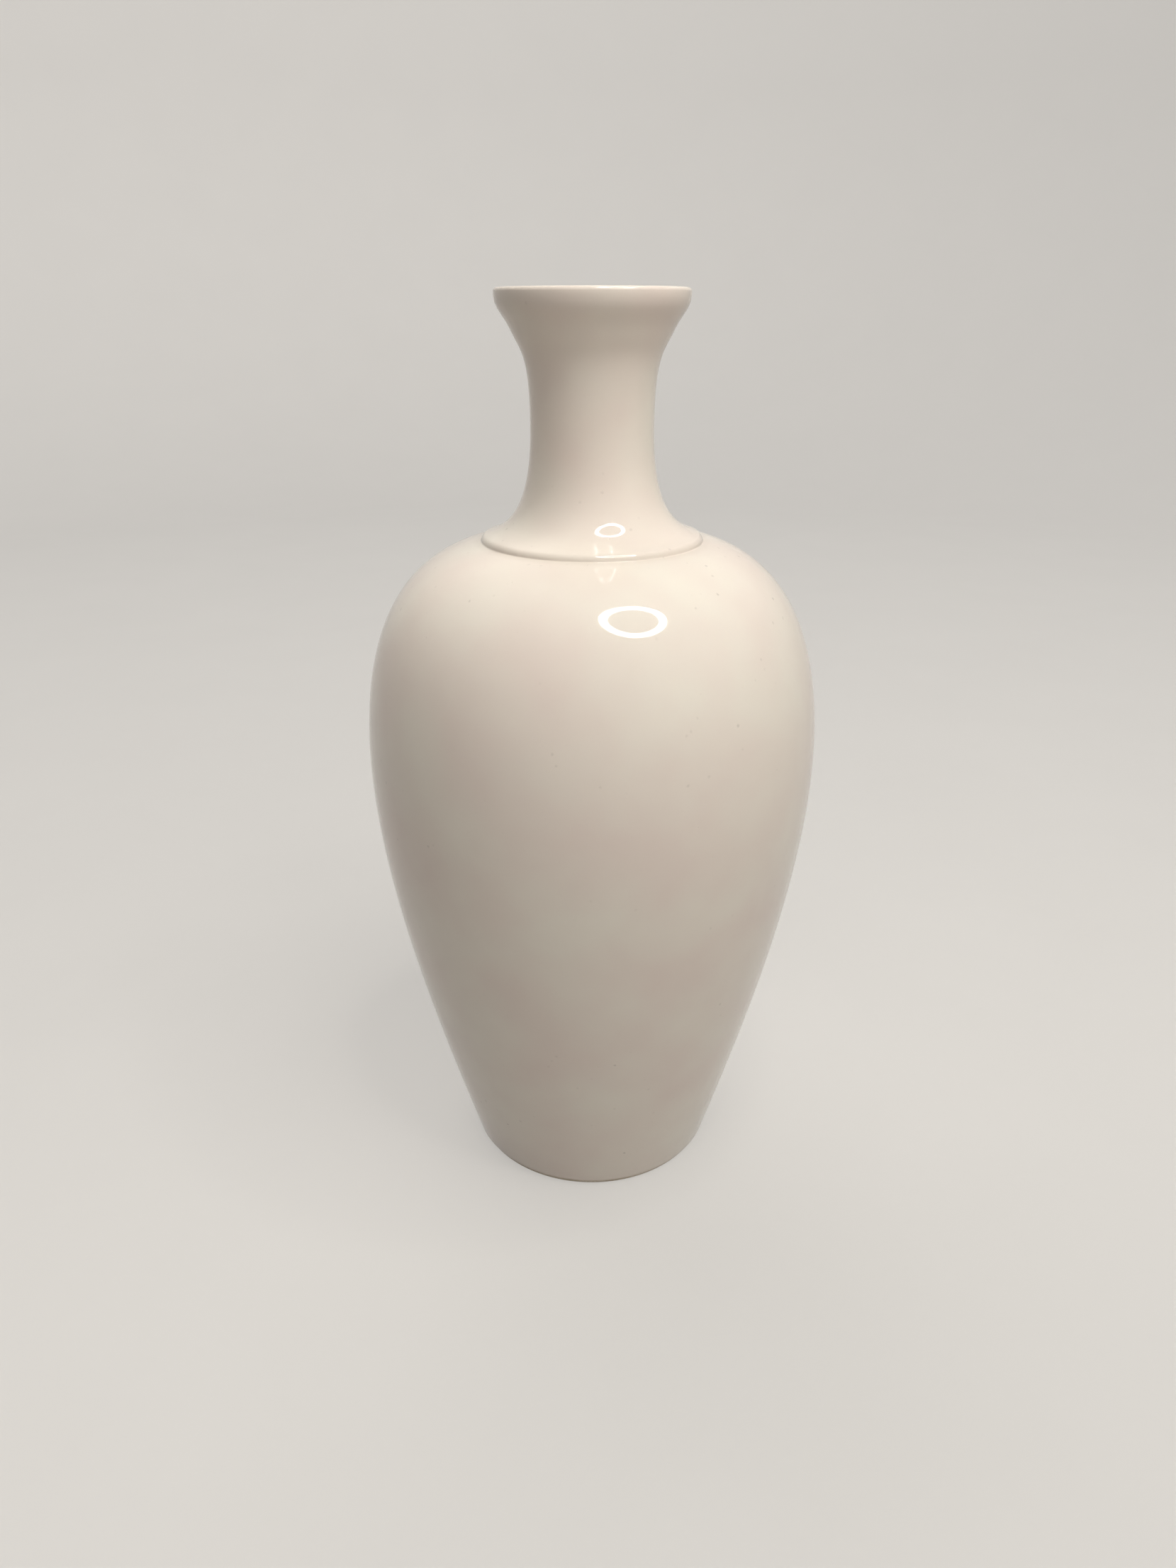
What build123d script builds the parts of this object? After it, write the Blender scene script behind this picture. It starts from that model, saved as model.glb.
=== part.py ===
"""White glazed porcelain vase: four thrown sections, joined with slip, under coats of glaze.

Millimetres and degrees, +Z up along the vase's axis, origin at the centre of the foot on the plane it
stands on. Every piece is turned about that axis from an area drawn in the plane of radius and height.

An outline is a row of stations. Each has a place, a heading and two pulls: how far its heading is felt
along the curve before it and along the curve after it. Outlines run with the solid on their left.
"""
from build123d import *
from collections import namedtuple
from math import cos, radians, sin, tan
import os

# Body, on the glaze
FOOT_R = 29.9            # where the outside would meet the plane it stands on
FOOT_LEAN = 15.5         # of the wall above the foot, from upright
FOOT_PULL = 29.0
BELLY_R = 50.3
BELLY_H = 104.0
BELLY_PULL_BELOW = 32.0
BELLY_PULL_ABOVE = 29.5
BODY_H = 151.0           # of the shoulder at the collar
SHOULDER_FALL = 9.7      # of the shoulder at the collar, from level
SHOULDER_PULL = 16.6

# Collar, on the glaze
COLLAR_R = 23.6          # where its side meets the shoulder
COLLAR_LEAN = 8.0        # of its side, from upright
COLLAR_SIDE = 0.3        # from the shoulder up to the rounded edge
COLLAR_ROUND = 1.35
COLLAR_FALL = 16.5       # of its top beside the rounded edge, from level
COLLAR_PULL = 6.2

# Neck and lip, on the glaze
NECK_R = 12.74
NECK_RISE = 23.7         # from the shoulder to the neck's narrowest part
NECK_PULL_BELOW = 15.6
NECK_PULL_ABOVE = 13.2
NECK_H = 49.0            # from the shoulder to the top of the lip
LIP_R = 19.52
LIP_ROUND = 0.8
LIP_BAND = 0.6           # upright band below the rounded lip
LIP_PULL = 2.4
FLARE_LEAN = 25.5        # at the faint crease below the lip, from upright
FLARE_DROP = 6.25        # from the band down to the crease
FLARE_INSET = 3.12
FLARE_PULL_BELOW = 4.6
FLARE_PULL_ABOVE = 3.05

# Walls, glaze on both sides included, and layers
BODY_WALL = 4.0
NECK_WALL = 2.8
FLOOR = 5.0
GLAZE = 0.35
GLAZE_POOL = 0.3         # radius of the glaze in the corner under the collar
SLIP = 0.4

# Bore of the neck and the spigot that goes down through the shoulder
MOUTH_ROUND = 1.8
MOUTH_LEAN = 33.0        # of the bore inside the lip, from upright
MOUTH_PULL = 9.0
SPIGOT_BORE_R = 11.5
SPIGOT_WALL = 3.0
SPIGOT_LAND = 3.0        # straight end of the bore
SPIGOT_PULL = 8.0

# Foot ring, recess and floor
FOOT_RING = 5.2          # width of the foot ring, glaze on both sides included
FOOT_ROUND = 0.8
FOOT_BARE = 1.6          # height of the wiped foot
RING_TAPER = 10.0        # of the ring's inner side, from upright
RECESS = 3.5
RECESS_COVE = 2.5
FLOOR_COVE = 8.0
FLOOR_PULL = 20.0

# Rebated joints between the sections
LAP = 5.0
BASE_JOINT_H = 18.0

# Headings
OUT = 0.0
UP = 90.0
IN = 180.0
DOWN = 270.0
LEFT = 90.0
ABOUT = 180.0
FULL_TURN = 360.0

# Rows of stations that end closer together than this need no straight run between them
TOUCH = 1e-6

Station = namedtuple("Station", "r z heading before after")


def step(heading, length):
    """A move along a heading."""
    return Vector(length * cos(radians(heading)), 0, length * sin(radians(heading)))


def place(station):
    return Vector(station.r, 0, station.z)


def corner(r, z):
    """A plain corner between straight runs, as a row of its own."""
    return [Station(r, z, OUT, 0, 0)]


def controls(a, b):
    """The control points of the curve from one station to the next."""
    return place(a), place(a) + step(a.heading, a.after), place(b) - step(b.heading, b.before), place(b)


def cross(u, v):
    return u.X * v.Z - u.Z * v.X


def start_bend(a, b):
    """Curvature at the start of the curve from one station to the next, positive to the left."""
    p0, p1, p2, p3 = controls(a, b)
    return cross(p1 - p0, p2 - p1) * 2 / 3 / a.after**3


def end_bend(a, b):
    p0, p1, p2, p3 = controls(a, b)
    return cross(p2 - p1, p3 - p2) * 2 / 3 / b.before**3


def arc(r, z, heading, turn, radius):
    """The two ends of an arc that leaves a place, turning right where turn and radius are negative."""
    pull = radius * tan(radians(turn / 4)) * 4 / 3
    end = Vector(r, 0, z) + step(heading + LEFT, radius) - step(heading + turn + LEFT, radius)
    return [Station(r, z, heading, pull, pull), Station(end.X, end.Z, heading + turn, pull, pull)]


def rounded(r, z, heading, turn, radius):
    """The two ends of the arc that rounds off the corner at a place."""
    start = Vector(r, 0, z) - step(heading, radius * tan(radians(turn / 2)))
    return arc(start.X, start.Z, heading, turn, radius)


def sunk(row, depth):
    """A row of stations moved into the solid, with its curves kept parallel."""
    moved = []
    for i, s in enumerate(row):
        before = s.before
        after = s.after
        if i > 0:
            before *= 1 - depth * end_bend(row[i - 1], s)
        if i < len(row) - 1:
            after *= 1 - depth * start_bend(s, row[i + 1])
        spot = place(s) + step(s.heading + LEFT, depth)
        moved.append(Station(spot.X, spot.Z, s.heading, before, after))
    return moved


def reverse(row):
    return [Station(s.r, s.z, s.heading + ABOUT, s.after, s.before) for s in row[::-1]]


def back(rows):
    """An outline's rows, walked the other way."""
    return [reverse(row) for row in rows[::-1]]


def area(*rows):
    """The area inside an outline: curves along each row, straight runs from one row to the next."""
    edges = []
    for row, following in zip(rows, rows[1:] + rows[:1]):
        edges += [Edge.make_bezier(*controls(a, b)) for a, b in zip(row, row[1:])]
        if (place(following[0]) - place(row[-1])).length > TOUCH:
            edges.append(Edge.make_line(place(row[-1]), place(following[0])))
    return Face(Wire(edges))


def polygon(*corners):
    return Face(Wire.make_polygon([Vector(r, 0, z) for r, z in corners], close=True))


def seat_height(r, depth):
    """Height of the shoulder's straight seat under the collar, some way below the glaze."""
    fall = radians(SHOULDER_FALL)
    return BODY_H + (COLLAR_R - r) * tan(fall) - depth / cos(fall)


def foot_line_r(z):
    """Radius of the straight line that the outside leaves the foot along."""
    return FOOT_R + z * tan(radians(FOOT_LEAN))


# The glazed outside: the body from the wiped foot to the collar, then the collar, the neck and the lip
WALL_UP = UP - FOOT_LEAN
SHOULDER_IN = IN - SHOULDER_FALL
COLLAR_UP = UP + COLLAR_LEAN
LEDGE_TURN = COLLAR_UP - SHOULDER_IN
LEDGE = Vector(COLLAR_R, 0, BODY_H)
POOL_EDGE = LEDGE + step(SHOULDER_IN, GLAZE_POOL * tan(radians(LEDGE_TURN / 2)))
LIP_TOP = BODY_H + NECK_H
LIP_SIDE = LIP_TOP - LIP_ROUND
BAND_FOOT = LIP_SIDE - LIP_BAND
BODY = [
    Station(foot_line_r(FOOT_BARE), FOOT_BARE, WALL_UP, 0, FOOT_PULL),
    Station(BELLY_R, BELLY_H, UP, BELLY_PULL_BELOW, BELLY_PULL_ABOVE),
    Station(POOL_EDGE.X, POOL_EDGE.Z, SHOULDER_IN, SHOULDER_PULL, 0),
]
COLLAR_TOP = LEDGE + step(COLLAR_UP, COLLAR_SIDE)
COLLAR_EDGE = arc(COLLAR_TOP.X, COLLAR_TOP.Z, COLLAR_UP, IN - COLLAR_FALL - COLLAR_UP, COLLAR_ROUND)
NECK = [
    COLLAR_EDGE[0],
    COLLAR_EDGE[1]._replace(after=COLLAR_PULL),
    Station(NECK_R, BODY_H + NECK_RISE, UP, NECK_PULL_BELOW, NECK_PULL_ABOVE),
    Station(LIP_R - FLARE_INSET, BAND_FOOT - FLARE_DROP, UP - FLARE_LEAN, FLARE_PULL_BELOW, FLARE_PULL_ABOVE),
    Station(LIP_R, BAND_FOOT, UP, LIP_PULL, 0),
]
LIP_OUTER = arc(LIP_R, LIP_SIDE, UP, IN - UP, LIP_ROUND)
LIP_INNER = arc(LIP_R - LIP_ROUND, LIP_TOP, IN, UP - MOUTH_LEAN, MOUTH_ROUND)
LIP = [LIP_OUTER[0], LIP_INNER[0]._replace(before=LIP_OUTER[1].before), LIP_INNER[1]]

# The glazed inside: the bore down from the lip, then the wall from the shoulder to the cove at the floor
FLOOR_H = RECESS + FLOOR
FLOOR_R = foot_line_r(FLOOR_H) - BODY_WALL / cos(radians(FOOT_LEAN))
BORE_END = seat_height(SPIGOT_BORE_R, BODY_WALL)
BORE = [
    LIP[-1]._replace(after=MOUTH_PULL),
    Station(NECK_R - NECK_WALL, BODY_H + NECK_RISE, DOWN, NECK_PULL_ABOVE, NECK_PULL_BELOW),
    Station(SPIGOT_BORE_R, BORE_END + SPIGOT_LAND, DOWN, SPIGOT_PULL, 0),
]
COVE = rounded(FLOOR_R, FLOOR_H, WALL_UP + ABOUT, -WALL_UP, -FLOOR_COVE)
WALL = reverse(sunk(BODY, BODY_WALL))[:-1] + [COVE[0]._replace(before=FLOOR_PULL), COVE[1]]

# The glazed recess under the floor, out to the wiped part of the foot ring
RING_R = FOOT_R - FOOT_RING
RING_RUN = tan(radians(RING_TAPER))
RING_DOWN = DOWN + RING_TAPER
RECESS_EDGE = rounded(RING_R - RECESS * RING_RUN, RECESS, OUT, RING_DOWN - FULL_TURN, -RECESS_COVE)
RING_SIDE = [Station(RING_R - FOOT_BARE * RING_RUN, FOOT_BARE, RING_DOWN, 0, 0)]


def outside(depth, pool=None):
    """The outside at a depth, with a radius in the corner under the collar where one is given."""
    spot = LEDGE + step(SHOULDER_IN + LEDGE_TURN / 2 + LEFT, depth / cos(radians(LEDGE_TURN / 2)))
    ledge = rounded(spot.X, spot.Z, SHOULDER_IN, LEDGE_TURN, -pool) if pool else corner(spot.X, spot.Z)
    return [sunk(BODY, depth), ledge, sunk(NECK, depth), sunk(LIP, depth)]


def inside(depth):
    r = SPIGOT_BORE_R + depth
    spigot_end = corner(r, seat_height(r, BODY_WALL - depth))
    return [sunk(BORE, depth), spigot_end, sunk(WALL, depth), corner(0, FLOOR_H - depth)]


def recess(depth):
    return [corner(0, RECESS + depth), sunk(RECESS_EDGE, depth), sunk(RING_SIDE, depth)]


def foot():
    """The wiped foot ring: its rounded inner edge, then its outer one past the flat stand."""
    side = sunk(RING_SIDE, GLAZE)[0]
    wall = sunk(BODY, GLAZE)[0]
    inner_r = side.r + side.z * RING_RUN
    outer_r = wall.r - wall.z * tan(radians(FOOT_LEAN))
    inner_edge = rounded(inner_r, 0, RING_DOWN, FULL_TURN - RING_DOWN, FOOT_ROUND)
    return [inner_edge, rounded(outer_r, 0, OUT, WALL_UP, FOOT_ROUND)]


def parted(clay, lower, upper):
    """The clay below a joint, the slip in it and the clay above it, from the lines of the two clay faces."""
    far = BELLY_R + COLLAR_R
    under = -FOOT_R
    over = LIP_TOP + FOOT_R
    below = clay & polygon(*lower, (far, lower[-1][1]), (far, under), (0, under))
    above = clay & polygon(*upper, (far, upper[-1][1]), (far, over), (0, over))
    return below, clay - below - above, above


def lap_joint(r, z, lean):
    """The faces of a rebated joint, stepping down through the middle of a wall from inside to outside."""
    half = LAP / 2
    run = tan(radians(lean))
    gap = SLIP / cos(radians(lean))
    faces = []
    for middle, lift in ((r - gap / 2, 0), (r + gap / 2, SLIP)):
        top = lift + half
        bottom = lift - half
        faces.append([(0, z + top), (middle + top * run, z + top), (middle + bottom * run, z + bottom)])
    return faces


def spigot_joint():
    """The faces of the joint round the spigot and under the collar, up from the open belly."""
    opening_r = SPIGOT_BORE_R + SPIGOT_WALL + SLIP
    edge_r = outside(GLAZE)[1][0].r
    faces = []
    for r, depth in ((opening_r, GLAZE), (opening_r - SLIP, GLAZE - SLIP)):
        seat = [(r, seat_height(r, depth)), (edge_r, seat_height(edge_r, depth))]
        faces.append([(0, BELLY_H), (r, BELLY_H), *seat])
    return faces


clay = area(*recess(GLAZE), *foot(), *outside(GLAZE), *inside(GLAZE))
base_wall_r = foot_line_r(BASE_JOINT_H) - BODY_WALL / 2 / cos(radians(FOOT_LEAN))
base, base_slip, upper_clay = parted(clay, *lap_joint(base_wall_r, BASE_JOINT_H, FOOT_LEAN))
lower_body, belly_slip, top_clay = parted(upper_clay, *lap_joint(BELLY_R - BODY_WALL / 2, BELLY_H, 0))
shoulder, neck_slip, neck = parted(top_clay, *spigot_joint())

pieces = {
    "base_section": base,
    "base_slip_joint": base_slip,
    "lower_body_section": lower_body,
    "belly_slip_joint": belly_slip,
    "shoulder_section": shoulder,
    "neck_slip_joint": neck_slip,
    "neck_section": neck,
    "outer_glaze": area(*outside(0, GLAZE_POOL), *back(outside(GLAZE))),
    "inner_glaze": area(*inside(0), *back(inside(GLAZE))),
    "base_glaze": area(*recess(0), *back(recess(GLAZE))),
}

os.makedirs("parts", exist_ok=True)
for name, section in pieces.items():
    export_step(revolve(section, axis=Axis.Z), f"parts/{name}.step")
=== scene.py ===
"""Looks of the white glazed porcelain vase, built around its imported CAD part.

Sizes are millimetres and degrees, as in the part's source, and MM turns them into Blender's metres. +Z is up
along the axis that every piece is turned about, and the origin is at the centre of the foot.

An outline is a row of stations. Each has a place, a heading and two pulls: how far its heading is felt
along the curve before it and along the curve after it. Outlines run with the solid on their left.
"""
from collections import namedtuple
from math import ceil, cos, radians, sin, tan

import bmesh
import bpy
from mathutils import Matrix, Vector
from mathutils.geometry import interpolate_bezier


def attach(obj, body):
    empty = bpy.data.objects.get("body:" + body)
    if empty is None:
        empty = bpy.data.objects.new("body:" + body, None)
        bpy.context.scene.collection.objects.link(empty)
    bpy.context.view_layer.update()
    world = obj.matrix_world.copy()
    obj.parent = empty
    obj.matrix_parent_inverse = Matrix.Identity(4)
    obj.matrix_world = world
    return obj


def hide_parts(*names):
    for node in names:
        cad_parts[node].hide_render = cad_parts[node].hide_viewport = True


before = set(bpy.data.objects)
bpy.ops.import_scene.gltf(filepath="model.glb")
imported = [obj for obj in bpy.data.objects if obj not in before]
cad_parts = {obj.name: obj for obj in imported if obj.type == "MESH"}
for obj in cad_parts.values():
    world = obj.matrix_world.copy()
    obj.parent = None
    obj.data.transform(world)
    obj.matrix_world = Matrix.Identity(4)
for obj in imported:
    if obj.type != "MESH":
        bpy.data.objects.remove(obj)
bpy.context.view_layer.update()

MM = 0.001

# Body, on the glaze
FOOT_R = 29.9
FOOT_LEAN = 15.5
FOOT_PULL = 29.0
BELLY_R = 50.3
BELLY_H = 104.0
BELLY_PULL_BELOW = 32.0
BELLY_PULL_ABOVE = 29.5
BODY_H = 151.0
SHOULDER_FALL = 9.7
SHOULDER_PULL = 16.6

# Collar, on the glaze
COLLAR_R = 23.6
COLLAR_LEAN = 8.0
COLLAR_SIDE = 0.3
COLLAR_ROUND = 1.35
COLLAR_FALL = 16.5
COLLAR_PULL = 6.2

# Neck and lip, on the glaze
NECK_R = 12.74
NECK_RISE = 23.7
NECK_PULL_BELOW = 15.6
NECK_PULL_ABOVE = 13.2
NECK_H = 49.0
LIP_R = 19.52
LIP_ROUND = 0.8
LIP_BAND = 0.6
LIP_PULL = 2.4
FLARE_LEAN = 25.5
FLARE_DROP = 6.25
FLARE_INSET = 3.12
FLARE_PULL_BELOW = 4.6
FLARE_PULL_ABOVE = 3.05

# Walls, glaze on both sides included, and layers
BODY_WALL = 4.0
NECK_WALL = 2.8
FLOOR = 5.0
GLAZE = 0.35
GLAZE_POOL = 0.3

# Bore of the neck
MOUTH_ROUND = 1.8
MOUTH_LEAN = 33.0
MOUTH_PULL = 9.0
SPIGOT_BORE_R = 11.5
SPIGOT_LAND = 3.0
SPIGOT_PULL = 8.0

# Foot ring, recess and floor
FOOT_RING = 5.2
FOOT_BARE = 1.6
RING_TAPER = 10.0
RECESS = 3.5
RECESS_COVE = 2.5
FLOOR_COVE = 8.0
FLOOR_PULL = 20.0

# How finely the turned pieces are drawn
STEPS_AROUND = 240
STAGE_STEPS_AROUND = 96
STEP_ALONG = 1.5
STEP_TURN = 9.0
WELD = 0.0005
SHARP_EDGE = 40.0

# Headings
OUT = 0.0
UP = 90.0
IN = 180.0
DOWN = 270.0
LEFT = 90.0
ABOUT = 180.0
FULL_TURN = 360.0

Station = namedtuple("Station", "r z heading before after")


def step(heading, length):
    """A move along a heading."""
    return Vector((cos(radians(heading)), sin(radians(heading)))) * length


def place(station):
    return Vector((station.r, station.z))


def corner(r, z):
    """A plain corner between straight runs, as a row of its own."""
    return [Station(r, z, OUT, 0, 0)]


def controls(a, b):
    """The control points of the curve from one station to the next."""
    return place(a), place(a) + step(a.heading, a.after), place(b) - step(b.heading, b.before), place(b)


def start_bend(a, b):
    """Curvature at the start of the curve from one station to the next, positive to the left."""
    p0, p1, p2, p3 = controls(a, b)
    return (p1 - p0).cross(p2 - p1) * 2 / 3 / a.after**3


def end_bend(a, b):
    p0, p1, p2, p3 = controls(a, b)
    return (p2 - p1).cross(p3 - p2) * 2 / 3 / b.before**3


def arc(r, z, heading, turn, radius):
    """The two ends of an arc that leaves a place, turning right where turn and radius are negative."""
    pull = radius * tan(radians(turn / 4)) * 4 / 3
    end = Vector((r, z)) + step(heading + LEFT, radius) - step(heading + turn + LEFT, radius)
    return [Station(r, z, heading, pull, pull), Station(end.x, end.y, heading + turn, pull, pull)]


def rounded(r, z, heading, turn, radius):
    """The two ends of the arc that rounds off the corner at a place."""
    start = Vector((r, z)) - step(heading, radius * tan(radians(turn / 2)))
    return arc(start.x, start.y, heading, turn, radius)


def sunk(row, depth):
    """A row of stations moved into the solid, with its curves kept parallel."""
    moved = []
    for i, s in enumerate(row):
        before = s.before
        after = s.after
        if i > 0:
            before *= 1 - depth * end_bend(row[i - 1], s)
        if i < len(row) - 1:
            after *= 1 - depth * start_bend(s, row[i + 1])
        spot = place(s) + step(s.heading + LEFT, depth)
        moved.append(Station(spot.x, spot.y, s.heading, before, after))
    return moved


def reverse(row):
    return [Station(s.r, s.z, s.heading + ABOUT, s.after, s.before) for s in row[::-1]]


def back(rows):
    """An outline's rows, walked the other way."""
    return [reverse(row) for row in rows[::-1]]


def seat_height(r, depth):
    """Height of the shoulder's straight seat under the collar, some way below the glaze."""
    fall = radians(SHOULDER_FALL)
    return BODY_H + (COLLAR_R - r) * tan(fall) - depth / cos(fall)


def foot_line_r(z):
    """Radius of the straight line that the outside leaves the foot along."""
    return FOOT_R + z * tan(radians(FOOT_LEAN))


# The glazed outside: the body from the wiped foot to the collar, then the collar, the neck and the lip
WALL_UP = UP - FOOT_LEAN
SHOULDER_IN = IN - SHOULDER_FALL
COLLAR_UP = UP + COLLAR_LEAN
LEDGE_TURN = COLLAR_UP - SHOULDER_IN
LEDGE = Vector((COLLAR_R, BODY_H))
POOL_EDGE = LEDGE + step(SHOULDER_IN, GLAZE_POOL * tan(radians(LEDGE_TURN / 2)))
LIP_TOP = BODY_H + NECK_H
LIP_SIDE = LIP_TOP - LIP_ROUND
BAND_FOOT = LIP_SIDE - LIP_BAND
BODY = [
    Station(foot_line_r(FOOT_BARE), FOOT_BARE, WALL_UP, 0, FOOT_PULL),
    Station(BELLY_R, BELLY_H, UP, BELLY_PULL_BELOW, BELLY_PULL_ABOVE),
    Station(POOL_EDGE.x, POOL_EDGE.y, SHOULDER_IN, SHOULDER_PULL, 0),
]
COLLAR_TOP = LEDGE + step(COLLAR_UP, COLLAR_SIDE)
COLLAR_EDGE = arc(COLLAR_TOP.x, COLLAR_TOP.y, COLLAR_UP, IN - COLLAR_FALL - COLLAR_UP, COLLAR_ROUND)
NECK = [
    COLLAR_EDGE[0],
    COLLAR_EDGE[1]._replace(after=COLLAR_PULL),
    Station(NECK_R, BODY_H + NECK_RISE, UP, NECK_PULL_BELOW, NECK_PULL_ABOVE),
    Station(LIP_R - FLARE_INSET, BAND_FOOT - FLARE_DROP, UP - FLARE_LEAN, FLARE_PULL_BELOW, FLARE_PULL_ABOVE),
    Station(LIP_R, BAND_FOOT, UP, LIP_PULL, 0),
]
LIP_OUTER = arc(LIP_R, LIP_SIDE, UP, IN - UP, LIP_ROUND)
LIP_INNER = arc(LIP_R - LIP_ROUND, LIP_TOP, IN, UP - MOUTH_LEAN, MOUTH_ROUND)
LIP = [LIP_OUTER[0], LIP_INNER[0]._replace(before=LIP_OUTER[1].before), LIP_INNER[1]]

# The glazed inside: the bore down from the lip, then the wall from the shoulder to the cove at the floor
FLOOR_H = RECESS + FLOOR
FLOOR_R = foot_line_r(FLOOR_H) - BODY_WALL / cos(radians(FOOT_LEAN))
BORE_END = seat_height(SPIGOT_BORE_R, BODY_WALL)
BORE = [
    LIP[-1]._replace(after=MOUTH_PULL),
    Station(NECK_R - NECK_WALL, BODY_H + NECK_RISE, DOWN, NECK_PULL_ABOVE, NECK_PULL_BELOW),
    Station(SPIGOT_BORE_R, BORE_END + SPIGOT_LAND, DOWN, SPIGOT_PULL, 0),
]
COVE = rounded(FLOOR_R, FLOOR_H, WALL_UP + ABOUT, -WALL_UP, -FLOOR_COVE)
WALL = reverse(sunk(BODY, BODY_WALL))[:-1] + [COVE[0]._replace(before=FLOOR_PULL), COVE[1]]

# The glazed recess under the floor, out to the wiped part of the foot ring
RING_R = FOOT_R - FOOT_RING
RING_RUN = tan(radians(RING_TAPER))
RING_DOWN = DOWN + RING_TAPER
RECESS_EDGE = rounded(RING_R - RECESS * RING_RUN, RECESS, OUT, RING_DOWN - FULL_TURN, -RECESS_COVE)
RING_SIDE = [Station(RING_R - FOOT_BARE * RING_RUN, FOOT_BARE, RING_DOWN, 0, 0)]


def outside(depth, pool=None):
    """The outside at a depth, with a radius in the corner under the collar where one is given."""
    spot = LEDGE + step(SHOULDER_IN + LEDGE_TURN / 2 + LEFT, depth / cos(radians(LEDGE_TURN / 2)))
    ledge = rounded(spot.x, spot.y, SHOULDER_IN, LEDGE_TURN, -pool) if pool else corner(spot.x, spot.y)
    return [sunk(BODY, depth), ledge, sunk(NECK, depth), sunk(LIP, depth)]


def inside(depth):
    r = SPIGOT_BORE_R + depth
    spigot_end = corner(r, seat_height(r, BODY_WALL - depth))
    return [sunk(BORE, depth), spigot_end, sunk(WALL, depth), corner(0, FLOOR_H - depth)]


def recess(depth):
    return [corner(0, RECESS + depth), sunk(RECESS_EDGE, depth), sunk(RING_SIDE, depth)]


def walked(rows):
    """The points along an outline, closer together where it is short or turns."""
    points = []
    for row in rows:
        if not points or (place(row[0]) - points[-1]).length > WELD:
            points.append(place(row[0]))
        for a, b in zip(row, row[1:]):
            turn = abs(b.heading - a.heading) % FULL_TURN
            run = (place(b) - place(a)).length
            steps = ceil(max(run / STEP_ALONG, min(turn, FULL_TURN - turn) / STEP_TURN))
            points += interpolate_bezier(*controls(a, b), steps + 1)[1:]
    return points


def add(tree, kind, feeds=None, out=None, **settings):
    """Adds a node with its settings and gives back one of its outputs, the first unless it is named.

    Feeds names the node's sockets, each with a value or with the output that feeds it.
    """
    node = tree.nodes.new(kind)
    for name, value in settings.items():
        setattr(node, name, value)
    shown = [socket for socket in node.inputs if socket.enabled]
    for key, source in (feeds or {}).items():
        socket = shown[key] if isinstance(key, int) else next(s for s in shown if s.name == key)
        if isinstance(source, bpy.types.NodeSocket):
            tree.links.new(source, socket)
        else:
            socket.default_value = source
    return next((s for s in node.outputs if s.enabled and out in (None, s.name)), None)


def linear(code):
    """An sRGB hex colour as the linear colour that the shaders take."""
    parts = [int(code[i:i + 2], 16) / 255 for i in (1, 3, 5)]
    return (*(c / 12.92 if c <= 0.04045 else ((c + 0.055) / 1.055) ** 2.4 for c in parts), 1)


def per_metre(size):
    """The texture scale whose features are this many millimetres apart."""
    return 1 / (size * MM)


def wheel_tree():
    """Turns an outline, drawn in the plane of radius and height, round the axis, a little out of true."""
    tree = bpy.data.node_groups.new("turned_on_the_wheel", "GeometryNodeTree")
    sockets = (
        ("Outline", "NodeSocketGeometry"),
        ("Steps Around", "NodeSocketInt"),
        ("Turning Radius", "NodeSocketFloat"),
        ("Out Of True", "NodeSocketFloat"),
        ("Wander", "NodeSocketFloat"),
        ("Weld", "NodeSocketFloat"),
        ("Finish", "NodeSocketMaterial"),
    )
    for name, kind in sockets:
        tree.interface.new_socket(name, in_out="INPUT", socket_type=kind)
    tree.interface.new_socket("Turned", in_out="OUTPUT", socket_type="NodeSocketGeometry")
    given = tree.nodes.new("NodeGroupInput").outputs

    inwards = add(tree, "ShaderNodeMath", {0: given["Turning Radius"], 1: -1.0}, operation="MULTIPLY")
    laid = add(tree, "GeometryNodeTransform", {
        "Geometry": given["Outline"],
        "Translation": add(tree, "ShaderNodeCombineXYZ", {"X": inwards}),
        "Rotation": (radians(UP), 0, 0),
    })
    path = add(tree, "GeometryNodeCurvePrimitiveCircle", {
        "Resolution": given["Steps Around"],
        "Radius": given["Turning Radius"],
    })
    swept = add(tree, "GeometryNodeCurveToMesh", {"Curve": path, "Profile Curve": laid})

    drift = add(tree, "ShaderNodeTexNoise", {
        "Vector": add(tree, "GeometryNodeInputPosition"),
        "Scale": add(tree, "ShaderNodeMath", {0: 1.0, 1: given["Wander"]}, operation="DIVIDE"),
        "Detail": 0.0,
    }, out="Color")
    centred = add(tree, "ShaderNodeVectorMath", {0: drift, 1: (0.5, 0.5, 0.5)}, operation="SUBTRACT")
    moved = add(tree, "ShaderNodeVectorMath", {0: centred, "Scale": given["Out Of True"]}, operation="SCALE")
    wavered = add(tree, "GeometryNodeSetPosition", {"Geometry": swept, "Offset": moved})

    welded = add(tree, "GeometryNodeMergeByDistance", {"Geometry": wavered, "Distance": given["Weld"]})
    real = add(tree, "GeometryNodeRealizeInstances", {"Geometry": welded})
    finished = add(tree, "GeometryNodeSetMaterial", {"Geometry": real, "Material": given["Finish"]})
    add(tree, "NodeGroupOutput", {"Turned": finished})
    return tree


WHEEL = wheel_tree()

# How far a turned piece strays from true, from one side of its place to the other, and over what distance
OUT_OF_TRUE = 0.10
WANDER = 38.0


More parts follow.
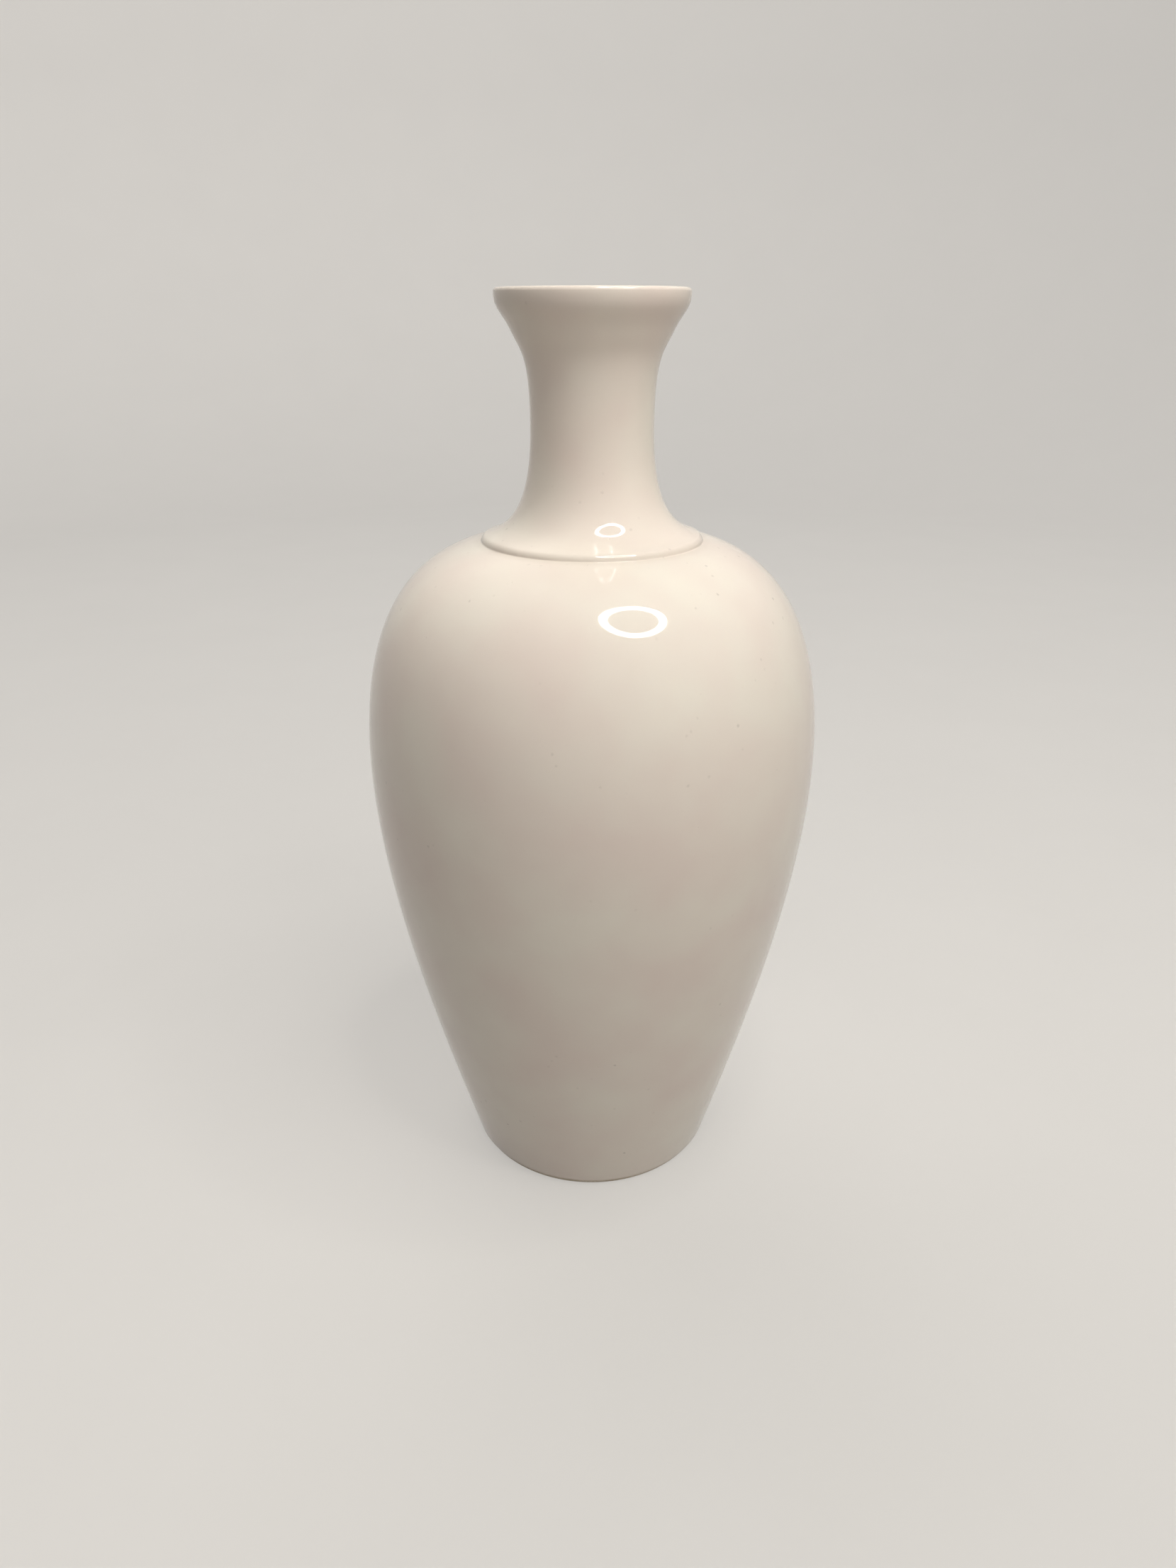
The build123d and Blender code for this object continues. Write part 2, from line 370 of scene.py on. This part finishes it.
def turned(name, rows, finish, closed=False, steps=STEPS_AROUND, out_of_true=OUT_OF_TRUE):
    """A piece turned from an outline that is closed, or that begins and ends on the axis."""
    points = walked(rows)
    if closed and (points[0] - points[-1]).length < WELD:
        points.pop()
    line = bpy.data.curves.new(name + "_outline", "CURVE")
    line.dimensions = "3D"
    spline = line.splines.new("POLY")
    spline.points.add(len(points) - 1)
    spline.use_cyclic_u = closed
    for point, (r, z) in zip(spline.points, points):
        point.co = (r * MM, 0, z * MM, 1)
    blank = bpy.data.objects.new(name + "_outline", line)
    bpy.context.scene.collection.objects.link(blank)

    wheel = blank.modifiers.new("wheel", "NODES")
    wheel.node_group = WHEEL
    # The outline is laid back by the turning radius before it goes round, so any radius turns the same piece
    sizes = {
        "Steps Around": steps,
        "Turning Radius": BELLY_R * MM,
        "Out Of True": out_of_true * MM,
        "Wander": WANDER * MM,
        "Weld": WELD * MM,
        "Finish": finish,
    }
    for socket in WHEEL.interface.items_tree:
        if socket.name in sizes:
            wheel[socket.identifier] = sizes[socket.name]
    mesh = bpy.data.meshes.new_from_object(blank.evaluated_get(bpy.context.evaluated_depsgraph_get()))
    bpy.data.objects.remove(blank)
    bpy.data.curves.remove(line)

    shape = bmesh.new()
    shape.from_mesh(mesh)
    bmesh.ops.recalc_face_normals(shape, faces=shape.faces)
    shape.to_mesh(mesh)
    shape.free()
    mesh.shade_smooth()
    mesh.set_sharp_from_angle(angle=radians(SHARP_EDGE))
    piece = bpy.data.objects.new(name, mesh)
    bpy.context.scene.collection.objects.link(piece)
    return piece


# Distances between the features of the patterns in the finishes, and the depths of their relief
MILK_DRIFT = 20.0
# How far from the corner under the collar the thick glaze tint reaches, which also paints the shade there
POOL_AND_SHADE_NEAR = 0.3
POOL_AND_SHADE_FAR = 2.2
SPECKS_APART = 4.0
SPECK_BLEED = 0.8
SPECK_STRAY = 0.4
SPECK_PATCHES = 26.0
GLOSS_DRIFT = 12.0
SKIN_WAVES = 3.0
SKIN_DEPTH = 0.004
PINHOLES_APART = 6.0
PINHOLE_DEPTH = 0.05
CLAY_GRAIN = 0.7
CLAY_GRAIN_DEPTH = 0.06
CLAY_CLOUDS = 9.0
PAPER_CLOUDS = 60.0

# Colours of the glaze: two milky whites, the tint where it lies thick in the corner under the collar, which also
# paints the shade there, and iron
ROSE_MILK = "#E8DACF"
STRAW_MILK = "#ECE4D7"
THICK_GLAZE_AND_SHADE = "#B9AC9B"
IRON = "#6E5F50"

# Refractive index of a feldspar glaze
GLAZE_IOR = 1.52

# Where nearly all of a noise's values lie
NOISE_SPAN = {"From Min": 0.3, "From Max": 0.7}


def new_material(name):
    """An empty material and its node tree."""
    material = bpy.data.materials.new(name)
    material.use_nodes = True
    material.node_tree.nodes.clear()
    return material, material.node_tree


def glazed_porcelain():
    """Clear feldspar glaze on white porcelain, fired glossy.

    Gives the eye a wet, hard gloss on a warm milky white that drifts a little between rose and straw, with
    iron specks gathered in patches, a few pinholes, a skin that is not quite flat, and a darker line in the
    corner under the collar, partly where the glaze lies thick and partly painted shade. Specks are drawn half a
    millimetre wide, much as the photograph shows them, and pinholes as wide, about twice their usual size, so
    that they show.
    """
    material, tree = new_material("glazed_porcelain")
    spot = add(tree, "ShaderNodeTexCoord", out="Object")
    cloud = add(tree, "ShaderNodeTexNoise", {"Vector": spot, "Scale": per_metre(MILK_DRIFT), "Detail": 2.0})
    milk = add(tree, "ShaderNodeMix", {
        "Factor": add(tree, "ShaderNodeMapRange", {"Value": cloud, **NOISE_SPAN}),
        "A": linear(ROSE_MILK),
        "B": linear(STRAW_MILK),
    }, data_type="RGBA")

    around = add(tree, "ShaderNodeVectorMath", {0: spot, 1: (1, 1, 0)}, operation="MULTIPLY")
    section = add(tree, "ShaderNodeCombineXYZ", {
        "X": add(tree, "ShaderNodeVectorMath", {0: around}, operation="LENGTH"),
        "Y": add(tree, "ShaderNodeSeparateXYZ", {0: spot}, out="Z"),
    })
    from_corner = add(tree, "ShaderNodeVectorMath", {
        0: section,
        1: (COLLAR_R * MM, BODY_H * MM, 0),
    }, operation="DISTANCE")
    # The corner under the collar darkens towards the thick glaze tint: partly glaze lying thick, partly painted
    # shade
    pool = add(tree, "ShaderNodeMapRange", {
        "Value": from_corner,
        "From Min": POOL_AND_SHADE_NEAR * MM,
        "From Max": POOL_AND_SHADE_FAR * MM,
        "To Min": 0.12,
        "To Max": 0.0,
    }, interpolation_type="SMOOTHSTEP")
    pooled_and_shaded = add(tree, "ShaderNodeMix", {"Factor": pool, "A": milk, "B": linear(THICK_GLAZE_AND_SHADE)}, data_type="RGBA")

    bleed = add(tree, "ShaderNodeTexNoise", {
        "Vector": spot,
        "Scale": per_metre(SPECK_BLEED),
        "Detail": 1.0,
    }, out="Color")
    ragged = add(tree, "ShaderNodeVectorMath", {
        0: bleed,
        1: [SPECK_STRAY * MM] * 3,
        2: spot,
    }, operation="MULTIPLY_ADD")
    speck = add(tree, "ShaderNodeTexVoronoi", {"Vector": ragged, "Scale": per_metre(SPECKS_APART)})
    dot = add(tree, "ShaderNodeMapRange", {
        "Value": speck,
        "From Min": 0.02,
        "From Max": 0.12,
        "To Min": 1.0,
        "To Max": 0.0,
    }, interpolation_type="SMOOTHSTEP")
    patch = add(tree, "ShaderNodeTexNoise", {"Vector": spot, "Scale": per_metre(SPECK_PATCHES), "Detail": 1.0})
    gathered = add(tree, "ShaderNodeMapRange", {
        "Value": patch,
        "From Min": 0.47,
        "From Max": 0.65,
        "To Min": 0.0,
        "To Max": 0.28,
    })
    dark = add(tree, "ShaderNodeMath", {0: dot, 1: gathered}, operation="MULTIPLY")
    specked = add(tree, "ShaderNodeMix", {"Factor": dark, "A": pooled_and_shaded, "B": linear(IRON)}, data_type="RGBA")

    haze = add(tree, "ShaderNodeTexNoise", {"Vector": spot, "Scale": per_metre(GLOSS_DRIFT), "Detail": 3.0})
    gloss = add(tree, "ShaderNodeMapRange", {"Value": haze, **NOISE_SPAN, "To Min": 0.02, "To Max": 0.05})

    skin = add(tree, "ShaderNodeTexNoise", {"Vector": spot, "Scale": per_metre(SKIN_WAVES), "Detail": 1.0})
    flow = add(tree, "ShaderNodeBump", {"Height": skin, "Distance": SKIN_DEPTH * MM, "Strength": 1.0})
    hole = add(tree, "ShaderNodeTexVoronoi", {"Vector": spot, "Scale": per_metre(PINHOLES_APART)})
    dip = add(tree, "ShaderNodeMapRange", {
        "Value": hole,
        "From Min": 0.0,
        "From Max": 0.045,
    }, interpolation_type="SMOOTHSTEP")
    pitted = add(tree, "ShaderNodeBump", {
        "Height": dip,
        "Distance": PINHOLE_DEPTH * MM,
        "Strength": 1.0,
        "Normal": flow,
    })

    shader = add(tree, "ShaderNodeBsdfPrincipled", {
        "Base Color": specked,
        "Roughness": gloss,
        "IOR": GLAZE_IOR,
        "Normal": pitted,
    })
    add(tree, "ShaderNodeOutputMaterial", {"Surface": shader})
    return material


def biscuit_porcelain(name, pale, deep):
    """Fired porcelain without glaze, wiped and dry: chalky and matt, with a fine sandy grain.

    The grain is drawn several times coarser than it is, so that it shows.
    """
    material, tree = new_material(name)
    spot = add(tree, "ShaderNodeTexCoord", out="Object")
    grain = add(tree, "ShaderNodeTexNoise", {"Vector": spot, "Scale": per_metre(CLAY_GRAIN), "Detail": 3.0})
    cloud = add(tree, "ShaderNodeTexNoise", {"Vector": spot, "Scale": per_metre(CLAY_CLOUDS), "Detail": 2.0})
    mixed = add(tree, "ShaderNodeMath", {0: grain, 1: cloud}, operation="MULTIPLY")
    tone = add(tree, "ShaderNodeMapRange", {"Value": mixed, "From Min": 0.12, "From Max": 0.4})
    shader = add(tree, "ShaderNodeBsdfPrincipled", {
        "Base Color": add(tree, "ShaderNodeMix", {
            "Factor": tone,
            "A": linear(deep),
            "B": linear(pale),
        }, data_type="RGBA"),
        "Roughness": add(tree, "ShaderNodeMapRange", {"Value": grain, "To Min": 0.65, "To Max": 0.9}),
        "Normal": add(tree, "ShaderNodeBump", {"Height": grain, "Distance": CLAY_GRAIN_DEPTH * MM, "Strength": 0.8}),
    })
    add(tree, "ShaderNodeOutputMaterial", {"Surface": shader})
    return material


glaze = glazed_porcelain()
biscuit = biscuit_porcelain("biscuit_porcelain", "#E2D7C6", "#C9BBA6")
slip = biscuit_porcelain("fired_slip", "#DDD1BE", "#BFB19B")

# The three glaze coats, in place of the plain CAD ones
coats = {
    "outer_glaze": turned("outer_glaze_coat", outside(0, GLAZE_POOL) + back(outside(GLAZE)), glaze, closed=True),
    "inner_glaze": turned("inner_glaze_coat", back(inside(GLAZE)) + inside(0), glaze),
    "base_glaze": turned("base_glaze_coat", recess(0) + back(recess(GLAZE)), glaze),
}
for node, coat in coats.items():
    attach(coat, "root")
    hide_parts(node)

# The clay under the glaze, bare at the foot ring, and the slip in its joints
for name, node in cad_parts.items():
    node.data.materials.clear()
    node.data.materials.append(slip if "slip" in name else biscuit)

# Studio: a pale sweep that rises all round, a soft sky that is brighter to the front right and behind, and the
# ring lamp that the glaze mirrors. Each light of the sky has the way to it, the cosine at its edge and a strength.
SWEEP_R = 1400.0
SWEEP_ROUND = 450.0
SWEEP_H = 620.0
PAPER_LIFT = 0.45
SKY_SEEN = 0.64
SKY_LEAST = 0.02
SKY_LIGHTS = (
    ((0.40, -0.84, 0.37), 0.5, 2.12),
    ((-0.34, 0.85, 0.30), 0.45, 2.4),
)
RING_LAMP_AT = (148.0, -152.0, 613.0)
RING_LAMP_FACES = (7.6, -37.9, 143.4)
RING_LAMP_R = 130.0
RING_LAMP_WIDTH = 32.0
RING_LAMP_DEPTH = 10.0
RING_LAMP_STRENGTH = 23.0


def seen_ray(tree):
    """One for what the camera sees, straight or mirrored in the glaze, and none for the light on matt things."""
    seen = add(tree, "ShaderNodeLightPath", out="Is Camera Ray")
    for kind in ("Is Glossy Ray", "Is Transmission Ray"):
        ray = add(tree, "ShaderNodeLightPath", out=kind)
        seen = add(tree, "ShaderNodeMath", {0: seen, 1: ray}, operation="MAXIMUM")
    return seen


def pale_paper():
    """Matt seamless paper, seen from above only, so that the foot can be looked at from below.

    What the camera sees of it, straight or in the gloss, is paler than the light that it throws back.
    """
    material, tree = new_material("pale_paper")
    cloud = add(tree, "ShaderNodeTexNoise", {
        "Vector": add(tree, "ShaderNodeTexCoord", out="Object"),
        "Scale": per_metre(PAPER_CLOUDS),
        "Detail": 4.0,
    })
    paper = add(tree, "ShaderNodeBsdfPrincipled", {
        "Base Color": add(tree, "ShaderNodeMix", {
            "Factor": cloud,
            "A": linear("#8E8B87"),
            "B": linear("#94918D"),
        }, data_type="RGBA"),
        "Roughness": 0.9,
        "Specular IOR Level": 0.2,
    })
    paler = add(tree, "ShaderNodeEmission", {
        "Color": linear("#F7F4EF"),
        "Strength": add(tree, "ShaderNodeMath", {0: seen_ray(tree), 1: PAPER_LIFT}, operation="MULTIPLY"),
    })
    one_way = add(tree, "ShaderNodeMixShader", {
        0: add(tree, "ShaderNodeNewGeometry", out="Backfacing"),
        1: add(tree, "ShaderNodeAddShader", {0: paper, 1: paler}),
        2: add(tree, "ShaderNodeBsdfTransparent"),
    })
    add(tree, "ShaderNodeOutputMaterial", {"Surface": one_way})
    return material


def lamp_glow(strength):
    """Frosted lamp, evenly bright."""
    material, tree = new_material("lamp_glow")
    glow = add(tree, "ShaderNodeEmission", {"Color": linear("#FFFEF8"), "Strength": strength})
    add(tree, "ShaderNodeOutputMaterial", {"Surface": glow})
    return material


def soft_sky():
    """Soft light from the sky's lights and a little from all round. The camera sees it as pale as the paper."""
    world = bpy.data.worlds.new("soft_sky")
    bpy.context.scene.world = world
    world.use_nodes = True
    tree = world.node_tree
    tree.nodes.clear()
    way = add(tree, "ShaderNodeTexCoord", out="Generated")
    level = SKY_LEAST
    for towards, edge, most in SKY_LIGHTS:
        facing = add(tree, "ShaderNodeVectorMath", {
            0: way,
            1: Vector(towards).normalized(),
        }, operation="DOT_PRODUCT")
        light = add(tree, "ShaderNodeMapRange", {
            "Value": facing,
            "From Min": edge,
            "From Max": 1.0,
            "To Min": 0.0,
            "To Max": most,
        }, interpolation_type="SMOOTHSTEP")
        level = add(tree, "ShaderNodeMath", {0: level, 1: light}, operation="ADD")
    seen = seen_ray(tree)
    sky = add(tree, "ShaderNodeBackground", {
        "Color": add(tree, "ShaderNodeMix", {
            "Factor": seen,
            "A": linear("#FFFCF9"),
            "B": linear("#FFFAF3"),
        }, data_type="RGBA"),
        "Strength": add(tree, "ShaderNodeMix", {"Factor": seen, "A": level, "B": SKY_SEEN}),
    })
    add(tree, "ShaderNodeOutputWorld", {"Surface": sky})


sweep_rows = [corner(0, 0), rounded(SWEEP_R, 0, OUT, UP, SWEEP_ROUND), corner(SWEEP_R, SWEEP_H)]
sweep = turned("sweep", sweep_rows, pale_paper(), steps=STAGE_STEPS_AROUND, out_of_true=0)
sweep.data.flip_normals()
lamp_rows = [
    corner(RING_LAMP_R - RING_LAMP_WIDTH, 0),
    corner(RING_LAMP_R, 0),
    corner(RING_LAMP_R, RING_LAMP_DEPTH),
    corner(RING_LAMP_R - RING_LAMP_WIDTH, RING_LAMP_DEPTH),
]
ring_lamp = turned(
    "ring_lamp",
    lamp_rows,
    lamp_glow(RING_LAMP_STRENGTH),
    closed=True,
    steps=STAGE_STEPS_AROUND,
    out_of_true=0,
)
ring_lamp.location = Vector(RING_LAMP_AT) * MM
ring_lamp.rotation_euler = (Vector(RING_LAMP_FACES) - Vector(RING_LAMP_AT)).to_track_quat("-Z", "Y").to_euler()
ring_lamp.visible_camera = False
soft_sky()

# Camera, as the photograph was taken: close, level with the lip and looking down
PHOTO_HEIGHT = 2212
PHOTO_FOCAL = 1534.0
SENSOR = 36.0
CAMERA_AT = (-0.864, -233.996, 196.485)
CAMERA_DOWN = 23.707
CLIP_START = 10.0
camera = bpy.data.objects.new("camera", bpy.data.cameras.new("camera"))
bpy.context.scene.collection.objects.link(camera)
camera.data.sensor_width = SENSOR
camera.data.lens = PHOTO_FOCAL / PHOTO_HEIGHT * SENSOR
camera.data.clip_start = CLIP_START * MM
camera.location = Vector(CAMERA_AT) * MM
camera.rotation_euler = (radians(UP - CAMERA_DOWN), 0, 0)
bpy.context.scene.camera = camera
bpy.context.scene.view_settings.view_transform = "Standard"
